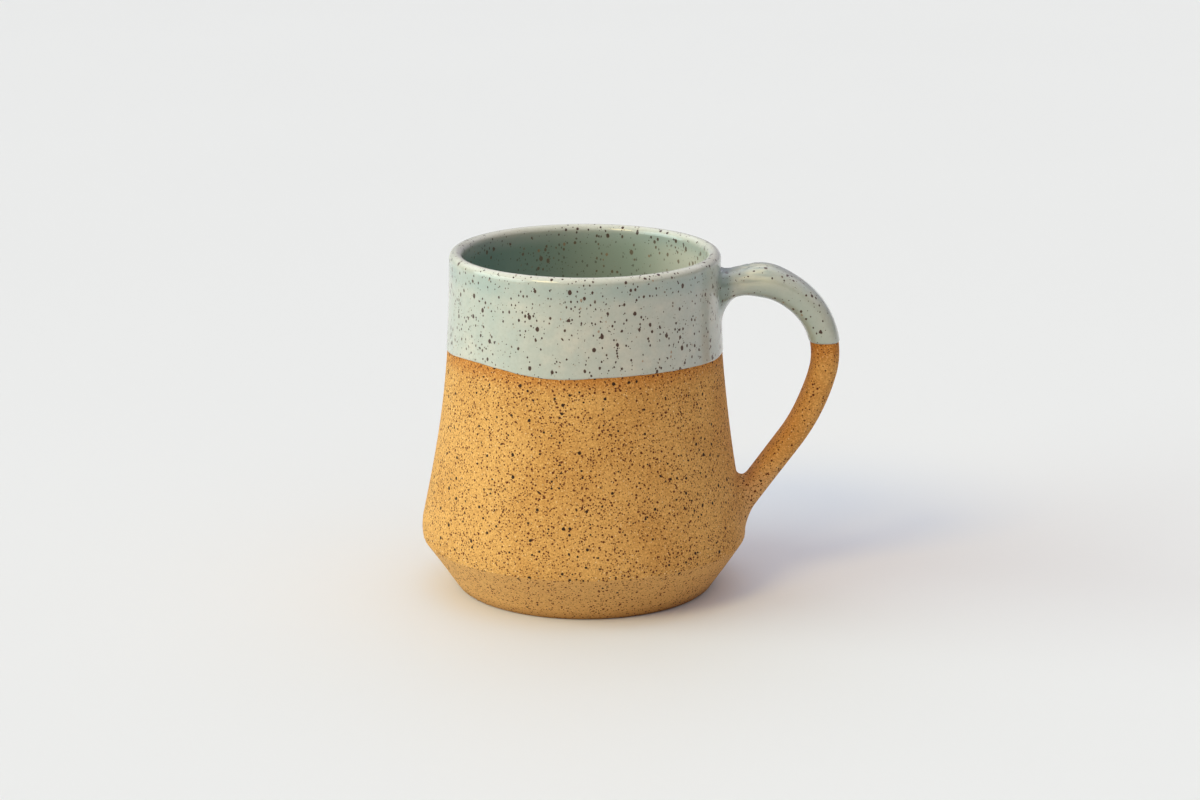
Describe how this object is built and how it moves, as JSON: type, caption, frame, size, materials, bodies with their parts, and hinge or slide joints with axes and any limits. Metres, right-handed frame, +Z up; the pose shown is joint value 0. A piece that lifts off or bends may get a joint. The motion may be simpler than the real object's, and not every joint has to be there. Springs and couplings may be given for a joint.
{
  "type": "mug",
  "caption": "Hand-thrown stoneware mug with a trimmed bevel, a flared belly, a pulled strap handle and a glossy pale glaze over a bare speckled clay body.",
  "frame": {"origin": "centre of the foot on the resting plane", "axes": "+Z up along the axis of the pot, +X towards the handle"},
  "size_m": [0.1248, 0.0974, 0.102],
  "materials": {
    "speckled_clay": "bare, sandy, matt",
    "handle_clay": "bare, matt, rust orange",
    "liner_glaze": "glossy pale green-grey glaze",
    "dipped_glaze": "glossy pale green-grey glaze with iron specks"
  },
  "bodies": {
    "root": {"clay_body": "speckled_clay", "handle": "handle_clay", "upper_joint_coil": "handle_clay", "lower_joint_coil": "handle_clay", "liner_glaze": "liner_glaze", "dipped_glaze": "dipped_glaze", "handle_glaze": "dipped_glaze"}
  },
  "joints": []
}
